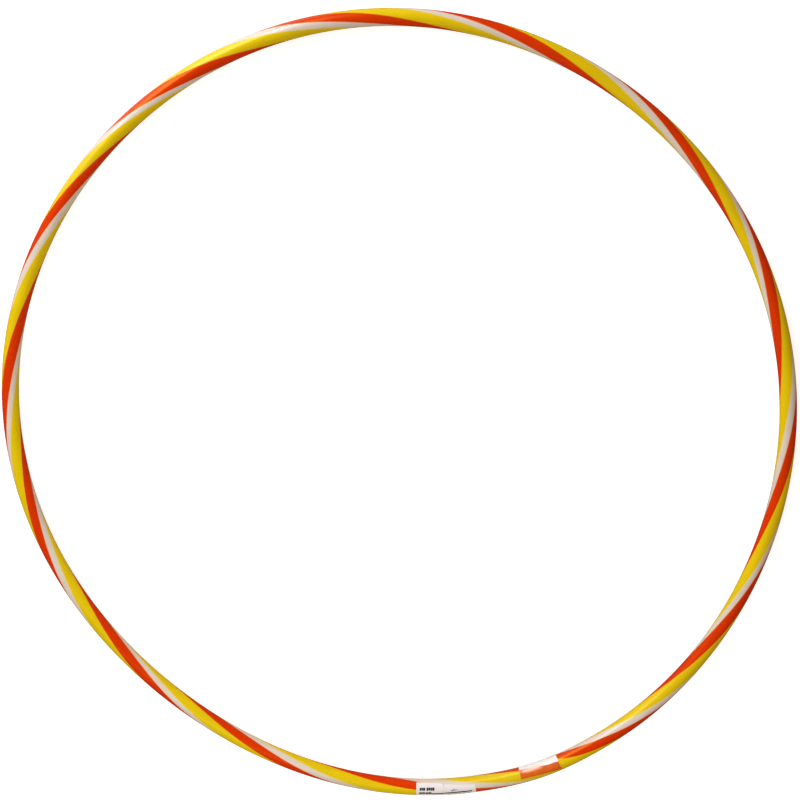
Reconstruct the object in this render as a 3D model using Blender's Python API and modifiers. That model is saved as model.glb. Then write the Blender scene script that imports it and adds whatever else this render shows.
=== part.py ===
"""Rhythmic hoop: a plastic tube with spiral colour bands, bent into a ring and joined over a plug.

The hoop lies flat, +Z up. The origin is at the middle of its outline, on the plane it rests on.
Directions round the ring are measured from +X towards +Y. Distances along the tube are measured
from the joint between the tube's two ends, positive towards +Y. Angles round the tube's section
are 0 at its outermost line, 90 at its top, 180 at its innermost line and 270 where it rests.
"""

import math

import bmesh
import bpy
from mathutils import Matrix, Vector

MM = 0.001

# Hoop tube
HOOP_DIAMETER = 850 * MM
TUBE_DIAMETER = 18 * MM
TUBE_WALL = 1.5 * MM
TUBE_SIDES = 20
RING_CHORDS = 96

# A bent hoop isn't a true circle: (lobes round the ring, height of a lobe, direction of one)
OUT_OF_ROUND = (
    (2, 7.8 * MM, math.radians(-52)),
    (3, 3.5 * MM, math.radians(52)),
    (4, 1.8 * MM, math.radians(9)),
)

# Joint
JOINT_DIRECTION = math.radians(-68.6)
JOINT_KINK = 1.4 * MM
JOINT_KINK_REACH = 45 * MM
CLEARANCE = 0.3 * MM
PLUG_LENGTH = 90 * MM
PLUG_SIDES = 16
PLUG_LAND = 34 * MM
PLUG_BARBS = 4
BARB_DEPTH = 0.7 * MM
BARB_RISE = 0.5 * MM
PLUG_TIP_RADIUS = 5.8 * MM

# Staples through the tube's wall into the plug, on its inner side
STAPLE_OFFSET = 8 * MM
STAPLE_WIDTH = 8 * MM
STAPLE_WIRE = 0.6 * MM
STAPLE_WIRE_WIDTH = 1.0 * MM
STAPLE_DEPTH = 5.9 * MM
STAPLE_SINK = 0.15 * MM
STAPLE_POINT = 0.5 * MM

# Films and papers round the tube: first and last distance along it, first and last section angle
# They stop short of 270, so that the hoop rests on its tube and not on them
WRAP_THICKNESS = 0.2 * MM
STICKER_SPAN = (-23.6 * MM, 22.4 * MM)
STICKER_WRAP = (70, 250)
TAPE_SPAN = (-75.6 * MM, -23.9 * MM)
TAPE_WRAP = (-65, 250)
BARCODE_LABEL_SPAN = (-110.8 * MM, -75.9 * MM)
BARCODE_LABEL_WRAP = (-45, 122)
REFERENCE_LABEL_SPAN = (-142.0 * MM, -111.1 * MM)
REFERENCE_LABEL_WRAP = (-45, 144)

TUBE_RADIUS = TUBE_DIAMETER / 2
RING_RADIUS = HOOP_DIAMETER / 2 - TUBE_RADIUS
SIDE_ANGLE = math.tau / TUBE_SIDES

# Modelling details
WELD_DISTANCE = 0.01 * MM
SHARP_ANGLE = math.radians(30)
LEAST_EDGE_GAP = 1  # degrees of section between a wrap's end and the next edge that it bends over


def new_collection(name):
    collection = bpy.data.collections.new(name)
    bpy.context.scene.collection.children.link(collection)
    return collection


def material(name, colour, roughness, metallic=0.0, alpha=1.0):
    made = bpy.data.materials.new(name)
    made.use_nodes = True
    shader = made.node_tree.nodes["Principled BSDF"]
    shader.inputs["Base Color"].default_value = (*colour, 1.0)
    shader.inputs["Roughness"].default_value = roughness
    shader.inputs["Metallic"].default_value = metallic
    shader.inputs["Alpha"].default_value = alpha
    made.diffuse_color = (*colour, alpha)
    return made


def ring_radius(direction):
    """Distance of the tube's centre line from the ring's own centre.

    The tube's two stiff ends push the ring a little outwards where they meet.
    """
    lobes = (height * math.cos(count * (direction - peak)) for count, height, peak in OUT_OF_ROUND)
    off_joint = math.remainder(direction - JOINT_DIRECTION, math.tau) * RING_RADIUS
    kink = JOINT_KINK * math.exp(-((off_joint / JOINT_KINK_REACH) ** 2))
    return RING_RADIUS + sum(lobes) + kink


def ring_corners():
    """Corners of the closed chain of chords that the centre line follows.

    The joint is halfway along the chord from the last corner to the first, so that the tube's
    two ends face each other squarely.
    """
    step = math.tau / RING_CHORDS
    corners = []
    for i in range(RING_CHORDS):
        direction = JOINT_DIRECTION + (i + 0.5) * step
        radius = ring_radius(direction)
        corners.append(Vector((radius * math.cos(direction), radius * math.sin(direction), 0)))
    low = Vector([min(c[axis] for c in corners) for axis in range(3)])
    high = Vector([max(c[axis] for c in corners) for axis in range(3)])
    to_origin = Vector((0, 0, TUBE_RADIUS)) - (low + high) / 2
    return [c + to_origin for c in corners]


CORNERS = ring_corners()
JOINT = (CORNERS[-1] + CORNERS[0]) / 2


def corner_distances():
    """Distance of each corner from the joint, and the length of the whole chain."""
    distances = [(CORNERS[0] - JOINT).length]
    for before, after in zip(CORNERS, CORNERS[1:]):
        distances.append(distances[-1] + (after - before).length)
    return distances, distances[-1] + (JOINT - CORNERS[-1]).length


DISTANCES, CHAIN_LENGTH = corner_distances()


def point_at(distance):
    """Point on the chain of chords, and the direction of its chord."""
    distance %= CHAIN_LENGTH
    before = [0.0, *DISTANCES]
    points = [JOINT, *CORNERS, JOINT]
    i = max(k for k, passed in enumerate(before) if passed <= distance)
    along = (points[i + 1] - points[i]).normalized()
    return points[i] + along * (distance - before[i]), along


def path_through(distances):
    """Points of the chain at the given distances, with every corner that lies between them."""
    start, end = distances[0], distances[-1]
    corners = [d + turn for turn in (-CHAIN_LENGTH, 0.0) for d in DISTANCES]
    inside = [d for d in corners if start + CLEARANCE < d < end - CLEARANCE]
    return sorted([*distances, *inside])


def curve_object(name, distances, radii=None, tilt=0.0):
    """Curve along the chain through the given distances, ready for a bevel."""
    curve = bpy.data.curves.new(name, "CURVE")
    curve.dimensions = "3D"
    curve.twist_mode = "Z_UP"
    spline = curve.splines.new("POLY")
    spline.points.add(len(distances) - 1)
    for i, distance in enumerate(distances):
        point = spline.points[i]
        point.co = (*point_at(distance)[0], 1.0)
        point.radius = radii[i] if radii else 1.0
        point.tilt = tilt
    return bpy.data.objects.new(name, curve)


def add_shell(made, thickness, outward):
    """Turns an open swept surface into a wall of even thickness."""
    solidify = made.modifiers.new("wall", "SOLIDIFY")
    solidify.thickness = thickness
    solidify.offset = 1.0 if outward else -1.0
    solidify.use_even_offset = True


def as_mesh(made, collection):
    """Replaces a curve object by the mesh it shows, with its caps welded on."""
    bpy.context.scene.collection.objects.link(made)
    seen = made.evaluated_get(bpy.context.evaluated_depsgraph_get())
    mesh = bpy.data.meshes.new_from_object(seen)
    welded = bmesh.new()
    welded.from_mesh(mesh)
    bmesh.ops.remove_doubles(welded, verts=welded.verts, dist=WELD_DISTANCE)
    welded.to_mesh(mesh)
    welded.free()
    name, place = made.name, made.matrix_world.copy()
    bpy.data.objects.remove(made)
    result = bpy.data.objects.new(name, mesh)
    result.matrix_world = place
    collection.objects.link(result)
    return result


def cut(made, cutters):
    for cutter in cutters:
        boolean = made.modifiers.new(cutter.name, "BOOLEAN")
        boolean.operation = "DIFFERENCE"
        boolean.solver = "EXACT"
        boolean.object = cutter


def finish(made, finish_material):
    made.data.materials.clear()
    made.data.materials.append(finish_material)
    if made.type == "MESH":
        made.data.shade_smooth()
        made.data.set_sharp_from_angle(angle=SHARP_ANGLE)


def make_tube(collection, cutters):
    """The hoop's one long tube, open at its two ends, which meet at the joint."""
    ends = [CLEARANCE / 2, CHAIN_LENGTH - CLEARANCE / 2]
    tube = curve_object("hoop_tube", path_through(ends), tilt=SIDE_ANGLE / 2)
    tube.data.bevel_depth = TUBE_RADIUS / math.cos(SIDE_ANGLE / 2)
    tube.data.bevel_resolution = (TUBE_SIDES - 4) // 2
    add_shell(tube, TUBE_WALL, outward=False)
    tube = as_mesh(tube, collection)
    cut(tube, cutters)
    finish(tube, material("striped polyethylene", (0.85, 0.22, 0.01), 0.35))


def plug_profile():
    """Distance and radius of each ring of one half of the plug, from its middle to its tip."""
    full = TUBE_RADIUS - TUBE_WALL - CLEARANCE
    low = full - BARB_DEPTH
    half_land = PLUG_LAND / 2
    pitch = (PLUG_LENGTH / 2 - half_land) / (PLUG_BARBS + 1)
    profile = [(half_land, full), (half_land + BARB_RISE, low)]
    for i in range(PLUG_BARBS):
        root = half_land + (i + 0.5) * pitch
        profile += [(root, low), (root + BARB_RISE, full)]
    profile.append((PLUG_LENGTH / 2, PLUG_TIP_RADIUS))
    return profile


def make_plug(collection, cutters):
    """Barbed spigot inside both ends of the tube."""
    full = TUBE_RADIUS - TUBE_WALL - CLEARANCE
    half = plug_profile()
    rings = [(-d, r) for d, r in reversed(half)] + half
    distances = path_through([d for d, _ in rings])
    radii = []
    for distance in distances:
        later = next(i for i, (d, _) in enumerate(rings) if d >= distance)
        (d0, r0), (d1, r1) = rings[max(later - 1, 0)], rings[later]
        share = (distance - d0) / (d1 - d0) if d1 > d0 else 0.0
        radii.append((r0 + (r1 - r0) * share) / full)
    plug = curve_object("joint_plug", distances, radii, tilt=math.pi / PLUG_SIDES)
    plug.data.bevel_depth = full
    plug.data.bevel_resolution = (PLUG_SIDES - 4) // 2
    plug.data.use_fill_caps = True
    plug = as_mesh(plug, collection)
    cut(plug, cutters)
    finish(plug, material("natural polypropylene", (0.72, 0.70, 0.64), 0.5))


def staple_outline(grow):
    """Corners of a staple seen from above, crown at the far side, grown on every side by grow."""
    top = TUBE_RADIUS - STAPLE_SINK
    tip = top - STAPLE_DEPTH
    outer = STAPLE_WIDTH / 2 + grow
    inner = STAPLE_WIDTH / 2 - STAPLE_WIRE - grow
    crown = top - STAPLE_WIRE - grow
    far = top if grow == 0 else TUBE_RADIUS + WRAP_THICKNESS
    half = [(inner, crown), (inner, tip + STAPLE_POINT - grow), (outer, tip - grow), (outer, far)]
    return half + [(-x, y) for x, y in reversed(half)]


def flat_piece(name, outline, thickness, distance):
    """Flat outline beside the tube's centre line: X along the tube, Y towards the ring's inside."""
    curve = bpy.data.curves.new(name, "CURVE")
    curve.dimensions = "2D"
    curve.fill_mode = "BOTH"
    curve.extrude = thickness / 2
    spline = curve.splines.new("POLY")
    spline.points.add(len(outline) - 1)
    for point, (x, y) in zip(spline.points, outline):
        point.co = (x, y, 0, 1)
    spline.use_cyclic_u = True
    made = bpy.data.objects.new(name, curve)
    place, along = point_at(distance)
    up = Vector((0, 0, 1))
    axes = Matrix((along, up.cross(along), up)).transposed()
    made.matrix_world = Matrix.Translation(place) @ axes.to_4x4()
    return made


def make_staples(collection):
    steel = material("staple wire", (0.62, 0.62, 0.60), 0.3, metallic=1.0)
    for i, distance in enumerate((-STAPLE_OFFSET, STAPLE_OFFSET), start=1):
        staple = flat_piece(f"joint_staple_{i}", staple_outline(0), STAPLE_WIRE_WIDTH, distance)
        finish(as_mesh(staple, collection), steel)


def make_staple_cutters(collection):
    """Slots for the staples, a clearance wider than each on every side."""
    cutters = []
    width = STAPLE_WIRE_WIDTH + 2 * CLEARANCE
    for i, distance in enumerate((-STAPLE_OFFSET, STAPLE_OFFSET), start=1):
        slot = flat_piece(f"staple_slot_{i}", staple_outline(CLEARANCE), width, distance)
        slot = as_mesh(slot, collection)
        slot.hide_render = True
        slot.display_type = "WIRE"
        cutters.append(slot)
    return cutters


def wrap_section(name, first, last, collection):
    """Open outline a clearance outside the tube's flats, between two section angles."""
    side = 360 / TUBE_SIDES
    edges = [(k + 0.5) * side for k in range(-TUBE_SIDES, TUBE_SIDES)]
    low, high = first + LEAST_EDGE_GAP, last - LEAST_EDGE_GAP
    angles = [first, last] + [edge for edge in edges if low < edge < high]
    angles.sort(reverse=True)  # this way round, the swept surface faces away from the tube
    curve = bpy.data.curves.new(name, "CURVE")
    curve.dimensions = "2D"
    spline = curve.splines.new("POLY")
    spline.points.add(len(angles) - 1)
    for point, angle in zip(spline.points, angles):
        off_flat = math.radians((angle + side / 2) % side - side / 2)
        radius = (TUBE_RADIUS + CLEARANCE) / math.cos(off_flat)
        turn = math.radians(angle)
        point.co = (radius * math.cos(turn), radius * math.sin(turn), 0, 1)
    guide = bpy.data.objects.new(name, curve)
    guide.hide_render = True
    guide.display_type = "WIRE"
    collection.objects.link(guide)
    return guide


def make_wrap(name, span, angles, finish_material, collection, guides):
    """A film or paper stuck round part of the tube."""
    wrap = curve_object(name, path_through(list(span)))
    wrap.data.bevel_mode = "OBJECT"
    wrap.data.bevel_object = wrap_section(f"{name}_section", *angles, guides)
    add_shell(wrap, WRAP_THICKNESS, outward=True)
    collection.objects.link(wrap)
    finish(wrap, finish_material)


def make_wraps(collection, guides):
    printed = material("printed vinyl", (0.80, 0.28, 0.10), 0.35)
    film = material("clear film", (0.95, 0.95, 0.90), 0.1, alpha=0.3)
    paper = material("label paper", (0.84, 0.84, 0.86), 0.6)
    pieces = (
        ("joint_sticker", STICKER_SPAN, STICKER_WRAP, printed),
        ("clear_joint_tape", TAPE_SPAN, TAPE_WRAP, film),
        ("barcode_label", BARCODE_LABEL_SPAN, BARCODE_LABEL_WRAP, paper),
        ("reference_label", REFERENCE_LABEL_SPAN, REFERENCE_LABEL_WRAP, paper),
    )
    for name, span, angles, stuff in pieces:
        make_wrap(name, span, angles, stuff, collection, guides)


def main():
    for old in list(bpy.data.objects):
        bpy.data.objects.remove(old, do_unlink=True)
    hoop = new_collection("rhythmic_hoop")
    guides = new_collection("cutters_and_guides")
    cutters = make_staple_cutters(guides)
    make_tube(hoop, cutters)
    make_plug(hoop, cutters)
    make_staples(hoop)
    make_wraps(hoop, guides)


main()
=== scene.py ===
"""Looks of the rhythmic hoop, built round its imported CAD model. Metres, +Z up, hoop lying flat.

Distances along the tube are measured from the joint between its two ends, positive towards +Y.
Angles round the tube's section are 0 at its outermost line, 90 at its top, 180 at its innermost
line and 270 where it rests. They are in degrees, and directions round the ring are in radians.
"""

import math

import bpy
import numpy as np
from mathutils import Matrix, Vector


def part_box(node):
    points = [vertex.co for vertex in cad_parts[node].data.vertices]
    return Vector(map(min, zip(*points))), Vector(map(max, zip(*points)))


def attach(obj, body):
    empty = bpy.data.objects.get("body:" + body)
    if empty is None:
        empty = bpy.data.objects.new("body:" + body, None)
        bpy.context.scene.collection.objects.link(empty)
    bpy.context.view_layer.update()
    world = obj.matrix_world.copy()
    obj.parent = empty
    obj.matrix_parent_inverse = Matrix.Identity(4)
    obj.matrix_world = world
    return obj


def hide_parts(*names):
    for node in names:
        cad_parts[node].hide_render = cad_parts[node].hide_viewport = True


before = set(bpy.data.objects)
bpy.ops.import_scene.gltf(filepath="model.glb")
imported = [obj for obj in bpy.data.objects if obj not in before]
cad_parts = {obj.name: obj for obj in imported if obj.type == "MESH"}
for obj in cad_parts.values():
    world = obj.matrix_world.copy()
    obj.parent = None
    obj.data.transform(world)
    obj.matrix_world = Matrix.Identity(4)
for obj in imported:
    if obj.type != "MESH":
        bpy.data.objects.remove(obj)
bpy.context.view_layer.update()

MM = 0.001

# Ring, the same rule as the CAD centre line but without its chords
TUBE_LOW, TUBE_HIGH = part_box("hoop_tube")
TUBE_RADIUS = (TUBE_HIGH.z - TUBE_LOW.z) / 2
TUBE_WALL = 1.5 * MM
RING_RADIUS = 425 * MM - TUBE_RADIUS
OUT_OF_ROUND = (
    (2, 7.8 * MM, math.radians(-52)),
    (3, 3.5 * MM, math.radians(52)),
    (4, 1.8 * MM, math.radians(9)),
)
JOINT_DIRECTION = math.radians(-68.6)
JOINT_KINK = 1.4 * MM
JOINT_KINK_REACH = 45 * MM
JOINT_GAP = 0.3 * MM

# Colour bands: each one's colour, its width in degrees of section and its columns of faces
BANDS = (
    ("orange", 70.0, 10),
    ("white", 35.0, 5),
    ("yellow", 73.0, 10),
    ("orange", 61.5, 9),
    ("white", 44.0, 6),
    ("yellow", 76.5, 10),
)
FIRST_BAND_ANGLE = -40.5
BAND_TURNS = 7.057
BAND_WANDER = 1.0
# Near the joint each band's first edge strays: (degrees, distance from the joint, reach)
BAND_STRAYS = {
    "orange": ((17.0, -130 * MM, 48 * MM), (6.0, -40 * MM, 25 * MM), (27.0, 10 * MM, 24 * MM)),
    "white": ((13.0, -165 * MM, 38 * MM), (12.0, 0.0, 50 * MM)),
    "yellow": ((17.0, -130 * MM, 48 * MM), (3.0, -60 * MM, 25 * MM), (-12.0, 20 * MM, 25 * MM)),
}
TUBE_ROWS = 720
SHARP_ANGLE = math.radians(40)
BORE_ROW_STEP = 8


# ---------------------------------------------------------------- ring geometry


def make_centre_line(samples=7200):
    """Distances and points of the tube's centre line, from the joint once round to it again."""
    turned = np.linspace(0, math.tau, samples + 1)
    direction = JOINT_DIRECTION + turned
    off_joint = np.minimum(turned, math.tau - turned) * RING_RADIUS
    radius = RING_RADIUS + JOINT_KINK * np.exp(-((off_joint / JOINT_KINK_REACH) ** 2))
    for count, height, peak in OUT_OF_ROUND:
        radius += height * np.cos(count * (direction - peak))
    points = np.stack([radius * np.cos(direction), radius * np.sin(direction)], axis=1)
    middle = (points.min(axis=0) + points.max(axis=0)) / 2
    points -= middle
    steps = np.linalg.norm(np.diff(points, axis=0), axis=1)
    distance = np.concatenate([[0.0], np.cumsum(steps)])
    return distance, points, -middle


LINE_DISTANCE, LINE_POINTS, RING_CENTRE = make_centre_line()
RING_LENGTH = LINE_DISTANCE[-1]
LINE_ALONG = np.gradient(LINE_POINTS, LINE_DISTANCE, axis=0)
LINE_ALONG[0] = LINE_ALONG[-1] = LINE_ALONG[0] + LINE_ALONG[-1]
LINE_ALONG /= np.linalg.norm(LINE_ALONG, axis=1, keepdims=True)


def on_tube(distance, angle, radius):
    """Points at those distances along the tube, section angles and distances from its axis."""
    distance, angle, radius = np.broadcast_arrays(distance, angle, radius)
    at = distance % RING_LENGTH
    centre = [np.interp(at, LINE_DISTANCE, LINE_POINTS[:, k]) for k in (0, 1)]
    along = [np.interp(at, LINE_DISTANCE, LINE_ALONG[:, k]) for k in (0, 1)]
    turn = np.radians(angle)
    out = radius * np.cos(turn)
    x = centre[0] + out * along[1]
    y = centre[1] - out * along[0]
    z = TUBE_RADIUS + radius * np.sin(turn)
    return np.stack([x, y, z], axis=-1)


# ---------------------------------------------------------------- mesh building


def grid_quads(ids):
    """Quads of a grid of vertex numbers, facing along (down the rows) x (across the columns)."""
    corners = (ids[:-1, :-1], ids[1:, :-1], ids[1:, 1:], ids[:-1, 1:])
    return np.stack(corners, axis=-1).reshape(-1, 4)


def make_mesh(name, points, quads, maps=None, slots=None, materials=()):
    """A smooth shaded piece. maps holds, for each UV map's name, a value pair per face corner."""
    mesh = bpy.data.meshes.new(name)
    mesh.from_pydata(points.reshape(-1, 3).tolist(), [], quads.tolist())
    for map_name, pairs in (maps or {}).items():
        layer = mesh.uv_layers.new(name=map_name)
        layer.data.foreach_set("uv", np.ascontiguousarray(pairs, dtype=np.float32).ravel())
    for finish in materials:
        mesh.materials.append(finish)
    if slots is not None:
        mesh.polygons.foreach_set("material_index", np.asarray(slots, dtype=np.int32))
    mesh.validate()
    mesh.shade_smooth()
    mesh.set_sharp_from_angle(angle=SHARP_ANGLE)
    made = bpy.data.objects.new(name, mesh)
    bpy.context.scene.collection.objects.link(made)
    return made


def closed_sheet(name, distance, angle, inner, outer, finish, maps):
    """A thin closed sheet round the tube from grids of distance, section angle and radius.

    maps holds a pair of grids for each UV map, used on both of its faces and on its rim.
    """
    rows, columns = distance.shape
    count = rows * columns
    ids = np.arange(count).reshape(rows, columns)
    top = grid_quads(ids)
    bottom = grid_quads(ids)[:, ::-1] + count
    loop = np.concatenate([ids[:-1, 0], ids[-1, :-1], ids[:0:-1, -1], ids[0, :0:-1]])
    after = np.roll(loop, -1)
    rim = np.stack([after, loop, loop + count, after + count], axis=-1)
    quads = np.concatenate([top, bottom, rim])
    points = np.concatenate(
        [on_tube(distance, angle, outer).reshape(-1, 3), on_tube(distance, angle, inner).reshape(-1, 3)]
    )
    corner_maps = {
        key: np.stack([grid.ravel()[quads % count] for grid in pair], axis=-1)
        for key, pair in maps.items()
    }
    return make_mesh(name, points, quads, corner_maps, materials=[finish])


# ---------------------------------------------------------------- material helpers

NOISE_RANGE = (0.3, 0.7)  # most of a noise texture's values lie in it
MIX_A, MIX_B, MIX_RESULT = 6, 7, 2  # a colour Mix node's sockets


class Nodes:
    """Short ways to add nodes to a material."""

    def __init__(self, name, colour):
        self.material = bpy.data.materials.new(name)
        self.material.use_nodes = True
        self.material.diffuse_color = (*colour, 1.0)
        self.tree = self.material.node_tree
        self.shader = self.tree.nodes["Principled BSDF"]
        self.shader.inputs["Base Color"].default_value = (*colour, 1.0)

    def add(self, kind, inputs=None, **settings):
        node = self.tree.nodes.new(kind)
        for key, value in settings.items():
            setattr(node, key, value)
        for key, value in (inputs or {}).items():
            self.feed(node.inputs[key], value)
        return node

    def feed(self, socket, value):
        if isinstance(value, bpy.types.NodeSocket):
            self.tree.links.new(value, socket)
        elif isinstance(value, tuple) and len(value) == 3 and socket.type == "RGBA":
            socket.default_value = (*value, 1.0)
        else:
            socket.default_value = value

    def set(self, **inputs):
        """Sets or links the shader's own inputs, with _ for a space in their names."""
        for key, value in inputs.items():
            self.feed(self.shader.inputs[key.replace("_", " ")], value)

    def math(self, operation, a, b=0.0, c=0.0):
        node = self.add("ShaderNodeMath", operation=operation)
        for socket, value in zip(node.inputs, (a, b, c)):
            self.feed(socket, value)
        return node.outputs[0]

    def remap(self, value, low, high, to_low=0.0, to_high=1.0, smooth=False):
        node = self.add("ShaderNodeMapRange")
        node.interpolation_type = "SMOOTHSTEP" if smooth else "LINEAR"
        for key, number in zip(
            ("Value", "From Min", "From Max", "To Min", "To Max"), (value, low, high, to_low, to_high)
        ):
            self.feed(node.inputs[key], number)
        return node.outputs[0]

    def mix(self, factor, a, b, blend="MIX"):
        node = self.add("ShaderNodeMix", data_type="RGBA", blend_type=blend)
        self.feed(node.inputs["Factor"], factor)
        self.feed(node.inputs[MIX_A], a)
        self.feed(node.inputs[MIX_B], b)
        return node.outputs[MIX_RESULT]

    def uv(self, name):
        """The two coordinates of a UV map, and the map itself."""
        coordinates = self.add("ShaderNodeUVMap", uv_map=name).outputs[0]
        parts = self.add("ShaderNodeSeparateXYZ", {0: coordinates})
        return parts.outputs[0], parts.outputs[1], coordinates

    def scaled(self, coordinates, x, y, z=1.0):
        node = self.add("ShaderNodeMapping", {"Vector": coordinates})
        node.inputs["Scale"].default_value = (x, y, z)
        return node.outputs[0]

    def noise(self, coordinates, scale, detail=2.0, roughness=0.5):
        inputs = {"Vector": coordinates, "Scale": scale, "Detail": detail, "Roughness": roughness}
        return self.add("ShaderNodeTexNoise", inputs).outputs["Fac"]

    def place(self):
        return self.add("ShaderNodeTexCoord").outputs["Object"]

    def bump(self, height, strength, depth):
        inputs = {"Height": height, "Strength": strength, "Distance": depth}
        node = self.add("ShaderNodeBump", inputs)
        self.set(Normal=node.outputs[0])

    def inside(self, value, low, high, soft):
        """1 where value is between low and high, fading over soft."""
        rise = self.remap(value, low - soft / 2, low + soft / 2, smooth=True)
        fall = self.remap(value, high - soft / 2, high + soft / 2, 1.0, 0.0, smooth=True)
        return self.math("MULTIPLY", rise, fall)


# ---------------------------------------------------------------- materials

BAND_COLOURS = {
    "orange": (0.625, 0.029, 0.001),
    "yellow": (0.69, 0.495, 0.002),
    "white": (0.645, 0.56, 0.492),
}
GLOSS_TINTS = {
    "orange": (1.0, 0.65, 0.08),
    "yellow": (1.0, 1.0, 0.32),
    "white": (1.0, 1.0, 1.0),
}
ORANGE_INTO_WHITE = (0.66, 0.27, 0.13)
YELLOW_INTO_WHITE = (0.68, 0.55, 0.22)
YELLOW_INTO_ORANGE = (0.64, 0.22, 0.003)
BAND_EDGES = {
    "orange": (YELLOW_INTO_ORANGE, ORANGE_INTO_WHITE),
    "white": (ORANGE_INTO_WHITE, YELLOW_INTO_WHITE),
    "yellow": (YELLOW_INTO_WHITE, YELLOW_INTO_ORANGE),
}
BLEED = 0.65 * MM
EDGE_WANDER = 0.25 * MM
TUBE_ROUGHNESS = (0.23, 0.29)
SCUFF_ROUGHNESS = 0.10
TUBE_IOR = 1.51
TUBE_GLOSS = 0.6


def band_plastic(name):
    """Extruded polyethylene of one colour, with its neighbours' colours bleeding in at its edges.

    UV map "tube" is metres along and round the tube; "edges" is metres from the band's two edges.
    """
    n = Nodes(f"polyethylene_{name}", BAND_COLOURS[name])
    from_low, from_high, _ = n.uv("edges")
    _, _, tube = n.uv("tube")
    place = n.place()
    wander = n.noise(n.scaled(tube, 60, 300), 1.0, 3.0)
    wander = n.remap(wander, *NOISE_RANGE, -EDGE_WANDER, EDGE_WANDER)
    cloud = n.noise(place, 38.0, 3.0)
    streak = n.noise(n.scaled(tube, 6, 1400), 1.0, 2.0)
    clouded = n.remap(cloud, *NOISE_RANGE, 0.95, 1.03)
    tint = n.math("ADD", clouded, n.remap(streak, *NOISE_RANGE, -0.03, 0.03))
    grey = n.add("ShaderNodeCombineColor", {0: tint, 1: tint, 2: tint}).outputs[0]
    colour = n.mix(1.0, BAND_COLOURS[name], grey, "MULTIPLY")
    for distance, edge in zip((from_low, from_high), BAND_EDGES[name]):
        share = n.remap(n.math("ADD", distance, wander), 0.0, BLEED, 0.75, 0.0, smooth=True)
        colour = n.mix(share, colour, edge)
    specks = n.noise(place, 900.0, 2.0)
    scuffs = n.remap(n.noise(n.scaled(tube, 90, 260), 1.0, 5.0, 0.65), 0.60, 0.72)
    rough = n.remap(specks, *NOISE_RANGE, *TUBE_ROUGHNESS)
    rough = n.math("ADD", rough, n.math("MULTIPLY", scuffs, SCUFF_ROUGHNESS))
    relief = n.math("ADD", n.math("MULTIPLY", streak, 0.6), n.math("MULTIPLY", specks, 0.25))
    relief = n.math("SUBTRACT", relief, n.math("MULTIPLY", scuffs, 0.3))
    n.set(Base_Color=colour, Roughness=rough, IOR=TUBE_IOR)
    n.set(Specular_IOR_Level=TUBE_GLOSS, Specular_Tint=GLOSS_TINTS[name])
    n.bump(relief, 0.12, 0.2 * MM)
    return n.material


PRINT_ORANGE = (0.71, 0.120, 0.008)
PRINT_BROWN = (0.60, 0.092, 0.005)
# painted highlight: a peach colour that stands in for a glint on the sticker's gloss
PAINTED_HIGHLIGHT_PEACH = (0.80, 0.30, 0.11)
PRINT_PINK = (0.80, 0.58, 0.51)
PRINT_WHITE = (0.79, 0.76, 0.78)
PRINT_BLUE = (0.68, 0.71, 0.81)
PRINT_YELLOW = (0.70, 0.66, 0.36)
WHITE_STARTS = (150.0, 120.0)
YELLOW_STARTS = (216.0, 172.0)
ORANGE_RETURNS = 236.0


def sticker_vinyl():
    """Glossy printed vinyl, with a peach highlight painted into its colour along the printed wave. UV
    map "print" is 0 to 1 along the tube and the section angle.
    """
    n = Nodes("printed_vinyl", PRINT_ORANGE)
    along, around, _ = n.uv("print")
    place = n.place()
    fleck = n.noise(place, 1500.0, 2.0)
    blotch = n.noise(place, 170.0, 4.0)

    def line(starts):
        """Degrees past a printed line that goes evenly from one section angle to another."""
        return n.math("SUBTRACT", around, n.remap(along, 0.0, 1.0, starts[0], starts[1]))

    past_white = line(WHITE_STARTS)
    ground = n.mix(n.remap(blotch, 0.35, 0.65), PRINT_ORANGE, PRINT_BROWN)
    ground = n.mix(n.remap(past_white, -60.0, -35.0, 0.6, 0.0), ground, PRINT_BROWN)
    pale = n.mix(n.remap(blotch, 0.45, 0.62, 0.0, 0.7), PRINT_WHITE, PRINT_BLUE)
    ripple = n.math("MULTIPLY", n.math("SINE", n.math("MULTIPLY", along, 19.0)), 1.5)
    colour = n.mix(n.remap(n.math("ADD", past_white, ripple), -1.5, 1.5, smooth=True), ground, pale)

    swell = n.math("MULTIPLY", n.math("SINE", n.math("MULTIPLY", along, 8.5)), 5.0)
    crest = n.math("ADD", past_white, swell)
    # Painted highlight: body and the peach mask paint a peach highlight along the wave's crest, while
    # pink and the keyline are print
    body = n.inside(along, 0.04, 0.55, 0.12)
    painted_highlight = n.math("MULTIPLY", n.inside(crest, -21.0, -5.0, 8.0), body)
    pink = n.math("MULTIPLY", n.inside(crest, -10.0, 12.0, 7.0), n.inside(along, 0.08, 0.5, 0.1))
    keyline = n.math("MULTIPLY", n.inside(past_white, -1.0, 3.0, 3.0), n.inside(along, 0.03, 0.2, 0.06))
    colour = n.mix(painted_highlight, colour, PAINTED_HIGHLIGHT_PEACH)
    colour = n.mix(n.math("MULTIPLY", pink, 0.85), colour, PRINT_PINK)
    colour = n.mix(n.math("MULTIPLY", keyline, 0.8), colour, PRINT_ORANGE)
    colour = n.mix(n.remap(line(YELLOW_STARTS), -6.0, 6.0, smooth=True), colour, PRINT_YELLOW)
    returned = n.remap(around, ORANGE_RETURNS - 1.5, ORANGE_RETURNS + 1.5, smooth=True)
    colour = n.mix(returned, colour, PRINT_ORANGE)
    n.set(Base_Color=colour, Roughness=n.remap(fleck, *NOISE_RANGE, 0.34, 0.44), IOR=1.45)
    n.bump(n.noise(place, 420.0, 3.0), 0.15, 0.2 * MM)
    return n.material


FILM = (0.94, 0.82, 0.36)
FILM_IOR = 1.45


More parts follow.
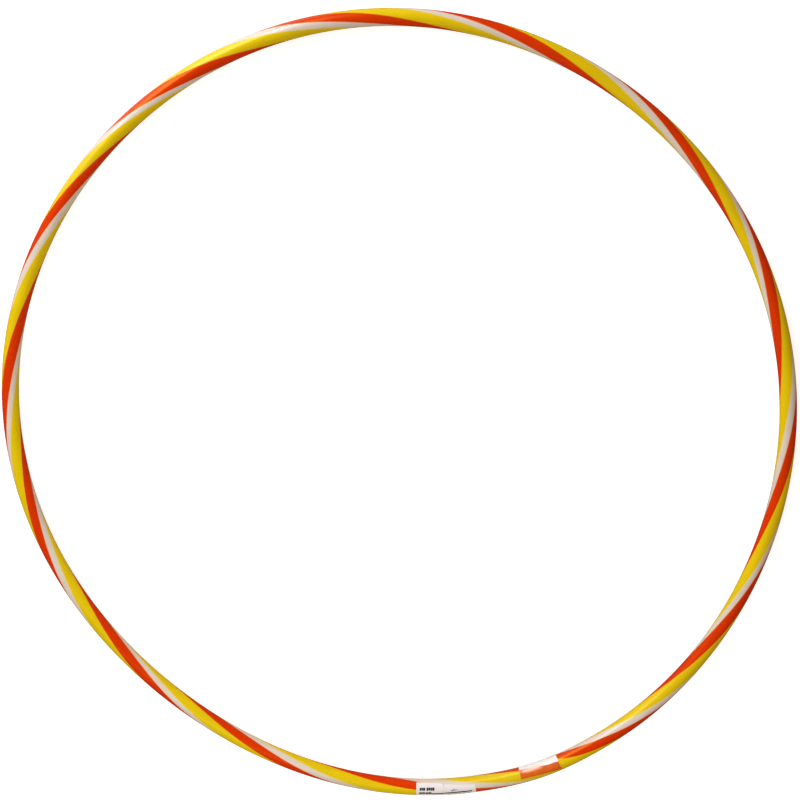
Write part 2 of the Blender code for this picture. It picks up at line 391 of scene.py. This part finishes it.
def clear_film():
    """Clear glossy tape: see-through, with a mirror gloss that grows at a slant."""
    n = Nodes("clear_film", FILM)
    along, _, _ = n.uv("print")
    place = n.place()
    gloss = n.add("ShaderNodeFresnel", {"IOR": FILM_IOR}).outputs[0]
    bubbles = n.remap(n.noise(place, 260.0, 3.0), 0.62, 0.70)
    edge = n.math("SUBTRACT", 1.0, n.inside(along, 0.006, 0.994, 0.01))
    haze = n.math("ADD", n.math("MULTIPLY", bubbles, 0.01), n.math("MULTIPLY", edge, 0.06))
    share = n.math("ADD", n.math("MULTIPLY", gloss, 0.03), n.math("ADD", haze, 0.004))
    n.set(Alpha=n.math("MINIMUM", share, 0.6))
    n.set(Roughness=n.remap(n.noise(place, 700.0, 2.0), *NOISE_RANGE, 0.18, 0.28))
    n.bump(n.noise(place, 300.0, 3.0), 0.15, 0.2 * MM)
    return n.material


PAPER = (0.74, 0.70, 0.75)
PAPER_DARK = (0.68, 0.63, 0.67)
PAPER_LIGHT = (0.80, 0.76, 0.81)
PAPER_BLUE = (0.66, 0.69, 0.80)
# colour of the print's ink, also used for a shadow line painted along the tube's outer edge
INK_AND_PAINTED_SHADE = (0.012, 0.010, 0.012)


def label_paper(name, marks):
    """Coated paper. UV map "print" is millimetres along and degrees round; marks are dark boxes of
    print, and of a painted shadow line along the tube's outer edge.

    Each mark is (along from, along to, round from, round to, darkness).
    """
    n = Nodes(name, PAPER)
    along, around, _ = n.uv("print")
    place = n.place()
    fibre = n.noise(place, 700.0, 5.0, 0.65)
    mottle = n.noise(place, 130.0, 3.0)
    colour = n.mix(n.remap(fibre, *NOISE_RANGE), PAPER_DARK, PAPER_LIGHT)
    colour = n.mix(n.remap(mottle, 0.45, 0.65, 0.0, 0.3), colour, PAPER_BLUE)
    ragged = n.remap(n.noise(place, 1800.0, 2.0), *NOISE_RANGE, -1.0, 1.0)
    x = n.math("ADD", along, n.math("MULTIPLY", ragged, 0.12))
    y = n.math("ADD", around, n.math("MULTIPLY", ragged, 0.8))
    for x0, x1, y0, y1, dark in marks:
        ink_and_shade = n.math("MULTIPLY", n.inside(x, x0, x1, 0.2), n.inside(y, y0, y1, 1.5))
        colour = n.mix(n.math("MULTIPLY", ink_and_shade, dark), colour, INK_AND_PAINTED_SHADE)
    n.set(Base_Color=colour, Roughness=n.remap(fibre, *NOISE_RANGE, 0.42, 0.58), IOR=1.45)
    n.bump(n.math("ADD", fibre, mottle), 0.2, 0.1 * MM)
    return n.material


PLUG_PLASTIC = (0.66, 0.63, 0.55)
PLUG_DARK = (0.58, 0.55, 0.47)
PLUG_LIGHT = (0.74, 0.71, 0.64)


def moulded_plastic():
    """Natural polypropylene of the plug, with flow clouds and moulding lines."""
    n = Nodes("natural_polypropylene", PLUG_PLASTIC)
    place = n.place()
    cloud = n.noise(place, 70.0, 4.0)
    grain = n.noise(place, 1300.0, 2.0)
    colour = n.mix(n.remap(cloud, *NOISE_RANGE), PLUG_DARK, PLUG_LIGHT)
    n.set(Base_Color=colour, Roughness=n.remap(grain, *NOISE_RANGE, 0.38, 0.52), IOR=1.49)
    n.bump(n.math("ADD", grain, cloud), 0.2, 0.2 * MM)
    return n.material


WIRE = (0.55, 0.56, 0.57)
WIRE_DULL = (0.46, 0.47, 0.49)
WIRE_BRIGHT = (0.66, 0.66, 0.65)


def staple_steel():
    """Galvanised wire with drawing lines and dull patches."""
    n = Nodes("galvanised_wire", WIRE)
    place = n.place()
    drawn = n.noise(n.scaled(place, 300, 300, 4000), 1.0, 3.0)
    patch = n.noise(place, 900.0, 4.0)
    colour = n.mix(n.remap(patch, 0.35, 0.65), WIRE_DULL, WIRE_BRIGHT)
    n.set(Base_Color=colour, Metallic=1.0, Roughness=n.remap(patch, *NOISE_RANGE, 0.26, 0.48))
    n.bump(drawn, 0.2, 0.1 * MM)
    return n.material


# ---------------------------------------------------------------- hoop tube


def band_edges(distance):
    """Section angle of the bands' edges at those distances, first edge again at the end."""
    turned = FIRST_BAND_ANGLE - 360 * BAND_TURNS * distance / RING_LENGTH
    edges = [turned]
    for _, width, _ in BANDS:
        edges.append(edges[-1] + width)
    phase = math.tau * distance / RING_LENGTH
    from_joint = np.where(distance < RING_LENGTH / 2, distance, distance - RING_LENGTH)
    for i, edge in enumerate(edges):
        k = i % len(BANDS)
        sway = np.sin((9 + 2 * k) * phase + 2.1 * k) + 0.5 * np.sin((21 - k) * phase + k)
        edges[i] = edge + BAND_WANDER * sway
        for turn, at, reach in BAND_STRAYS[BANDS[k][0]]:
            edges[i] += turn * np.exp(-(((from_joint - at) / reach) ** 2))
    return edges


def band_columns(edges):
    """Section angles and material slots of the tube's columns of faces.

    Also, for each column, the metres from its near and far sides to its band's low and high edge.
    """
    names = list(BAND_COLOURS)
    angles, slots, from_low, from_high = [], [], [], []
    for i, (name, _, columns) in enumerate(BANDS):
        metres = np.radians(edges[i + 1] - edges[i]) * TUBE_RADIUS
        for k in range(columns):
            near, far = k / columns, (k + 1) / columns
            angles.append(edges[i] * (1 - near) + edges[i + 1] * near)
            slots.append(names.index(name))
            from_low.append((near * metres, far * metres))
            from_high.append(((1 - near) * metres, (1 - far) * metres))
    return np.stack(angles, axis=1), np.array(slots), from_low, from_high


def corner_values(rows, sides):
    """Values at the corners of the faces between rows, from each column's near and far values."""
    near = np.stack([side[0] for side in sides], axis=1)
    far = np.stack([side[1] for side in sides], axis=1)
    first, last = rows[:-1], rows[1:]
    return np.stack([near[first], near[last], far[last], far[first]], axis=-1)


def strip_maps(rows, order, distance, angles, from_low, from_high):
    """The two UV maps of the faces between rows: metres along and round, and from both edges."""
    columns = angles.shape[1]
    corners = np.stack([rows[:-1], rows[1:], rows[1:], rows[:-1]], axis=-1)
    along = np.repeat(distance[corners][:, None, :], columns, axis=1)
    round_it = np.radians(np.concatenate([angles, angles[:, :1] + 360], axis=1)) * TUBE_RADIUS
    around = corner_values(rows, [(round_it[:, j], round_it[:, j + 1]) for j in range(columns)])
    tube = np.stack([along, around], axis=-1).reshape(-1, 4, 2)
    edges = np.stack([corner_values(rows, from_low), corner_values(rows, from_high)], axis=-1)
    return tube[:, order], edges.reshape(-1, 4, 2)[:, order]


def closed_round(ids):
    """A grid of vertex numbers with its first column again at the end."""
    return np.concatenate([ids, ids[:, :1]], axis=1)


def make_tube():
    """The hollow tube with a column of faces along every stretch of band, and its two cut ends."""
    distance = np.linspace(JOINT_GAP / 2, RING_LENGTH - JOINT_GAP / 2, TUBE_ROWS + 1)
    angles, slots, from_low, from_high = band_columns(band_edges(distance))
    columns = len(slots)
    grid_distance = np.repeat(distance[:, None], columns, axis=1)
    outer_rows = np.arange(TUBE_ROWS + 1)
    bore_rows = np.arange(0, TUBE_ROWS + 1, BORE_ROW_STEP)
    outer_ids = np.arange(len(outer_rows) * columns).reshape(-1, columns)
    bore_ids = outer_ids.size + np.arange(len(bore_rows) * columns).reshape(-1, columns)
    outer_ids, bore_ids = closed_round(outer_ids), closed_round(bore_ids)
    quads = np.concatenate(
        [
            grid_quads(outer_ids),
            grid_quads(bore_ids)[:, ::-1],
            grid_quads(np.stack([bore_ids[0], outer_ids[0]])),
            grid_quads(np.stack([outer_ids[-1], bore_ids[-1]])),
        ]
    )
    outer = on_tube(grid_distance, angles, TUBE_RADIUS)
    bore = on_tube(grid_distance[bore_rows], angles[bore_rows], TUBE_RADIUS - TUBE_WALL)
    points = np.concatenate([outer.reshape(-1, 3), bore.reshape(-1, 3)])

    values = (distance, angles, from_low, from_high)
    outer_maps = strip_maps(outer_rows, [0, 1, 2, 3], *values)
    bore_maps = strip_maps(bore_rows, [3, 2, 1, 0], *values)
    maps = {}
    for key, on_outer, on_bore in zip(("tube", "edges"), outer_maps, bore_maps):
        maps[key] = np.concatenate([on_outer, on_bore, on_outer[:columns], on_outer[-columns:]])
    finishes = [band_plastic(name) for name in BAND_COLOURS]
    strips = len(quads) // columns
    tube = make_mesh("hoop_tube_banded", points, quads, maps, np.tile(slots, strips), finishes)
    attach(tube, "root")
    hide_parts("hoop_tube")


# ---------------------------------------------------------------- films and papers

# Spans are distances along the tube; starts, tops and ends are section angles, at a span's two
# ends where there are two; lifts are a sheet's two faces off the tube; grids are rows and columns
STICKER_SPAN = (-23.6 * MM, 22.4 * MM)
STICKER_START = (86.0, 56.0)
STICKER_BOW = 7.0
STICKER_END = 320.0
STICKER_LIFT = (0.14 * MM, 0.32 * MM)
STICKER_GRID = (41, 121)
TAPE_SPAN = (-75.6 * MM, -23.8 * MM)
TAPE_START = 250.0
TAPE_TURN = 385.0
TAPE_THICKNESS = 0.06 * MM
TAPE_LIFT = 0.03 * MM
TAPE_TENT = 0.55 * MM
TAPE_TENT_REACH = 38.0
TAPE_GRID = (31, 141)
LABEL_LIFT = (0.02 * MM, 0.15 * MM)
LABEL_BOTTOM = -45.0
LABEL_GRID = (26, 61)
CORNER_ROWS = 8
REFERENCE_LABEL_SPAN = (-142.0 * MM, -111.1 * MM)
REFERENCE_LABEL_TOP = (148.0, 140.0)
REFERENCE_LABEL_CORNERS = (0.8 * MM, 5.0 * MM)
BARCODE_LABEL_SPAN = (-110.95 * MM, -75.7 * MM)
BARCODE_LABEL_TOP = (131.0, 112.0)
BARCODE_LABEL_CORNERS = (2.0 * MM, 0.8 * MM)


def corner_rows(span, corners, rows):
    """Distances from end to end, closer together over the rounded corners, with the corner's inset."""
    arc = np.radians(np.linspace(0, 90, CORNER_ROWS))
    start = span[0] + corners[0] * (1 - np.cos(arc))
    end = span[1] - corners[1] * (1 - np.cos(arc[::-1]))
    middle = np.linspace(start[-1], end[0], rows)[1:-1]
    distance = np.concatenate([start, middle, end])
    inset = np.zeros(len(distance))
    inset[: len(arc)] = corners[0] * (1 - np.sin(arc))
    inset[-len(arc):] = corners[1] * (1 - np.sin(arc[::-1]))
    return distance, inset


def make_label(name, node, span, top, corners, marks):
    """A paper label from under the tube's outer side up over its top, with rounded corners."""
    distance, inset = corner_rows(span, corners, LABEL_GRID[0])
    share = (distance - span[0]) / (span[1] - span[0])
    inset = np.degrees(inset / TUBE_RADIUS)
    low = LABEL_BOTTOM + inset
    high = top[0] + (top[1] - top[0]) * share - inset
    across = np.linspace(0, 1, LABEL_GRID[1])
    angle = low[:, None] * (1 - across) + high[:, None] * across
    distances = np.repeat(distance[:, None], len(across), axis=1)
    inner = np.full(angle.shape, TUBE_RADIUS + LABEL_LIFT[0])
    outer = np.full(angle.shape, TUBE_RADIUS + LABEL_LIFT[1])
    paper = label_paper(f"{node}_paper", marks)
    flat = ((distances - span[0]) / MM, angle)
    label = closed_sheet(name, distances, angle, inner, outer, paper, {"print": flat})
    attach(label, "root")
    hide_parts(node)


def bars(start, end, low, high, darkness, pattern):
    """Inked bars of uneven width between start and end, that read as print too small to make out."""
    marks = []
    at = start
    for width, gap, drop in pattern:
        marks.append((at, min(at + width, end), low + drop, high, darkness))
        at += width + gap
    return marks


def make_labels():
    """Two labels, with their marks in millimetres along and degrees round."""
    short = [(1.7, 0.25, 0), (1.8, 0.2, 3), (2.3, 0.1, 1)]
    long = [(1.9, 0.25, 0), (2.0, 0.25, 2), (1.8, 0.25, 0), (2.3, 0, 1)]
    wide = [(2.9, 0.3, 0), (3.6, 0.4, 3), (2.4, 0.3, 0), (3.6, 0, 2)]
    heading = bars(3.7, 10.0, 88.0, 110.0, 1.0, short) + bars(11.5, 20.3, 88.0, 111.0, 1.0, long)
    small = bars(3.4, 17.0, 58.0, 76.0, 1.0, wide)
    # painted shadow: rule is a dark line painted on the reference label along the tube's outer edge,
    # where shade falls
    painted_edge_shadow = [(17.0, 31.0, 56.0, 67.0, 1.0)]
    make_label(
        "reference_label_paper",
        "reference_label",
        REFERENCE_LABEL_SPAN,
        REFERENCE_LABEL_TOP,
        REFERENCE_LABEL_CORNERS,
        heading + small + painted_edge_shadow,
    )
    # painted shadow: ruled carries the same dark line painted on along the barcode label, near the
    # tube's outer edge
    painted_edge_shadow_lines = [(0.5, 14.5, 58.0, 69.5, 1.0), (14.5, 30.8, 60.0, 71.5, 1.0)]
    strokes = [
        (7.6, 9.4, 80.0, 88.0, 0.55),
        (9.1, 10.9, 83.4, 91.4, 0.55),
        (10.6, 12.4, 86.8, 94.8, 0.55),
        (8.8, 11.2, 76.0, 84.0, 0.5),
        (11.8, 14.0, 78.0, 88.0, 0.45),
        (14.0, 15.4, 84.0, 93.0, 0.4),
    ]
    thin = [(0.7, 0.6, 0), (0.4, 0.5, 0), (1.1, 0.5, 0), (0.5, 0.9, 0)]
    lines = bars(4.0, 30.0, 5.0, 48.0, 0.9, thin * 6)
    make_label(
        "barcode_label_paper",
        "barcode_label",
        BARCODE_LABEL_SPAN,
        BARCODE_LABEL_TOP,
        BARCODE_LABEL_CORNERS,
        painted_edge_shadow_lines + strokes + lines,
    )


def make_sticker():
    """A printed sticker that starts skewed on the outer side and goes over the top to underneath."""
    distance = np.linspace(*STICKER_SPAN, STICKER_GRID[0])
    share = (distance - STICKER_SPAN[0]) / (STICKER_SPAN[1] - STICKER_SPAN[0])
    across = np.linspace(0, 1, STICKER_GRID[1])
    first = STICKER_START[0] + (STICKER_START[1] - STICKER_START[0]) * share
    first += STICKER_BOW * 4 * share * (1 - share)
    angle = first[:, None] * (1 - across) + STICKER_END * across
    distances = np.repeat(distance[:, None], len(across), axis=1)
    inner = np.full(angle.shape, TUBE_RADIUS + STICKER_LIFT[0])
    outer = np.full(angle.shape, TUBE_RADIUS + STICKER_LIFT[1])
    shares = np.repeat(share[:, None], len(across), axis=1)
    vinyl = sticker_vinyl()
    sticker = closed_sheet(
        "printed_joint_sticker", distances, angle, inner, outer, vinyl, {"print": (shares, angle)}
    )
    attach(sticker, "root")
    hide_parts("joint_sticker")


def make_tape():
    """One turn of clear tape with its end lapped under the tube, tented off the tube's inner side."""
    distance = np.linspace(*TAPE_SPAN, TAPE_GRID[0])
    across = np.linspace(0, TAPE_TURN, TAPE_GRID[1])
    angle = np.repeat(TAPE_START + across[None, :], len(distance), axis=0)
    distances = np.repeat(distance[:, None], len(across), axis=1)
    away = angle % 360 - 180
    tent = TAPE_TENT * np.exp(-((away / TAPE_TENT_REACH) ** 2))
    lap = (TAPE_THICKNESS + TAPE_LIFT) * across / 360
    inner = TUBE_RADIUS + TAPE_LIFT + lap[None, :] + tent
    outer = inner + TAPE_THICKNESS
    share = (distances - TAPE_SPAN[0]) / (TAPE_SPAN[1] - TAPE_SPAN[0])
    tape = closed_sheet(
        "clear_tape_wrap", distances, angle, inner, outer, clear_film(), {"print": (share, angle)}
    )
    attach(tape, "root")
    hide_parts("clear_joint_tape")


def refinish_cad_nodes():
    """Materials for the hidden plug and staples, which keep their CAD meshes."""
    finishes = {"joint_plug": moulded_plastic(), "joint_staple_1": staple_steel()}
    finishes["joint_staple_2"] = finishes["joint_staple_1"]
    for name, finish in finishes.items():
        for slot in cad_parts[name].material_slots:
            slot.material = finish


# ---------------------------------------------------------------- stage

CAMERA_TILT = math.radians(11.05)
CAMERA_TILT_AXIS = math.radians(-7.0)
CAMERA_OFFSET = (-0.5 * MM, 21.1 * MM)
CAMERA_DISTANCE = 1568 * MM
CAMERA_LENS = 65.93
CAMERA_SENSOR = 36.0
FLOOR_SIZE = 60.0
WALL_HEIGHT = 30.0
PALE_FLOOR_Z = -0.4 * MM
BOUNCE_FLOOR_Z = -0.6 * MM
BOUNCE_FLOOR_COLOUR = (0.86, 0.78, 0.68)
PALE_FLOOR_COLOUR = (0.5, 0.5, 0.5)
PALE_FLOOR_GLOW = 0.78
KEY_COLOUR = (0.9, 0.945, 1.0)
FILL_COLOUR = (0.92, 1.0, 0.92)
ROOM_COLOUR = (1.0, 0.8, 0.61)
ROOM_STRENGTH = 0.475


def make_camera():
    """Camera above the hoop, leaning a little towards +Y."""
    camera = bpy.data.objects.new("camera", bpy.data.cameras.new("camera"))
    camera.data.lens = CAMERA_LENS
    camera.data.sensor_width = CAMERA_SENSOR
    axis = Vector((math.cos(CAMERA_TILT_AXIS), math.sin(CAMERA_TILT_AXIS), 0))
    centre = Matrix.Translation((*RING_CENTRE, TUBE_RADIUS))
    lean = Matrix.Rotation(-CAMERA_TILT, 4, axis)
    camera.matrix_world = centre @ lean @ Matrix.Translation((*CAMERA_OFFSET, CAMERA_DISTANCE))
    bpy.context.scene.collection.objects.link(camera)
    bpy.context.scene.camera = camera


def make_floor(name, height, albedo, glow, walls=0.0):
    """A flat floor, with four walls round its far edge when a height is given for them."""
    rim = np.array([[-1, -1, 0], [1, -1, 0], [1, 1, 0], [-1, 1, 0]]) * FLOOR_SIZE / 2
    rim[:, 2] = height
    corners = rim
    quads = [[0, 1, 2, 3]]
    if walls:
        corners = np.concatenate([rim, rim + np.array([0, 0, walls])])
        quads += [[k, k + 4, (k + 1) % 4 + 4, (k + 1) % 4] for k in range(4)]
    n = Nodes(name, albedo)
    n.set(Roughness=0.9, Specular_IOR_Level=0.0)
    n.set(Emission_Color=(1.0, 1.0, 1.0), Emission_Strength=glow)
    floor = make_mesh(name, corners, np.array(quads), materials=[n.material])
    floor.visible_shadow = False
    return floor


def make_floors():
    """A floor that shows, bright enough to read as white, and one that lights the hoop from below."""
    shown = make_floor(
        "pale_floor", PALE_FLOOR_Z, PALE_FLOOR_COLOUR, PALE_FLOOR_GLOW, walls=WALL_HEIGHT
    )
    shown.visible_diffuse = False
    shown.visible_glossy = False
    bounce = make_floor("bounce_floor", BOUNCE_FLOOR_Z, BOUNCE_FLOOR_COLOUR, 0.0)
    bounce.visible_camera = False
    bounce.visible_glossy = False


def area_light(name, azimuth, elevation, distance, size, watts, mirrored=True):
    """A round soft light aimed at the hoop's middle. Azimuth is measured from +X towards +Y."""
    data = bpy.data.lights.new(name, "AREA")
    data.shape = "DISK"
    data.size = size
    data.energy = watts
    light = bpy.data.objects.new(name, data)
    a, e = math.radians(azimuth), math.radians(elevation)
    place = Vector((math.cos(e) * math.cos(a), math.cos(e) * math.sin(a), math.sin(e))) * distance
    light.location = place
    light.rotation_mode = "QUATERNION"
    light.rotation_quaternion = (-place).to_track_quat("-Z", "Y")
    light.visible_glossy = mirrored
    bpy.context.scene.collection.objects.link(light)
    return light


def make_lights():
    """A key light from -X and +Y, two weak fills, and an even room that the gloss misses.

    lit_floor is below the hoop and shows only in its gloss, as a lit floor beyond it would.
    """
    key = area_light("key", azimuth=127, elevation=31, distance=1.95, size=1.4, watts=30)
    key.data.color = KEY_COLOUR
    fill = area_light(
        "fill", azimuth=250, elevation=55, distance=1.0, size=0.5, watts=3.5, mirrored=False
    )
    fill.data.color = FILL_COLOUR
    area_light(
        "low_fill", azimuth=106, elevation=12, distance=2.2, size=1.4, watts=8.0, mirrored=False
    )
    lit_floor = area_light("lit_floor", azimuth=127, elevation=-14, distance=1.4, size=1.4, watts=5.0)
    lit_floor.visible_diffuse = False
    lit_floor.visible_camera = False
    world = bpy.data.worlds.new("even_room")
    world.use_nodes = True
    world.node_tree.nodes["Background"].inputs["Color"].default_value = (*ROOM_COLOUR, 1.0)
    world.node_tree.nodes["Background"].inputs["Strength"].default_value = ROOM_STRENGTH
    world.cycles_visibility.glossy = False
    bpy.context.scene.world = world
    bpy.context.scene.view_settings.view_transform = "Standard"


make_camera()
make_tube()
make_sticker()
make_tape()
make_labels()
refinish_cad_nodes()
make_floors()
make_lights()
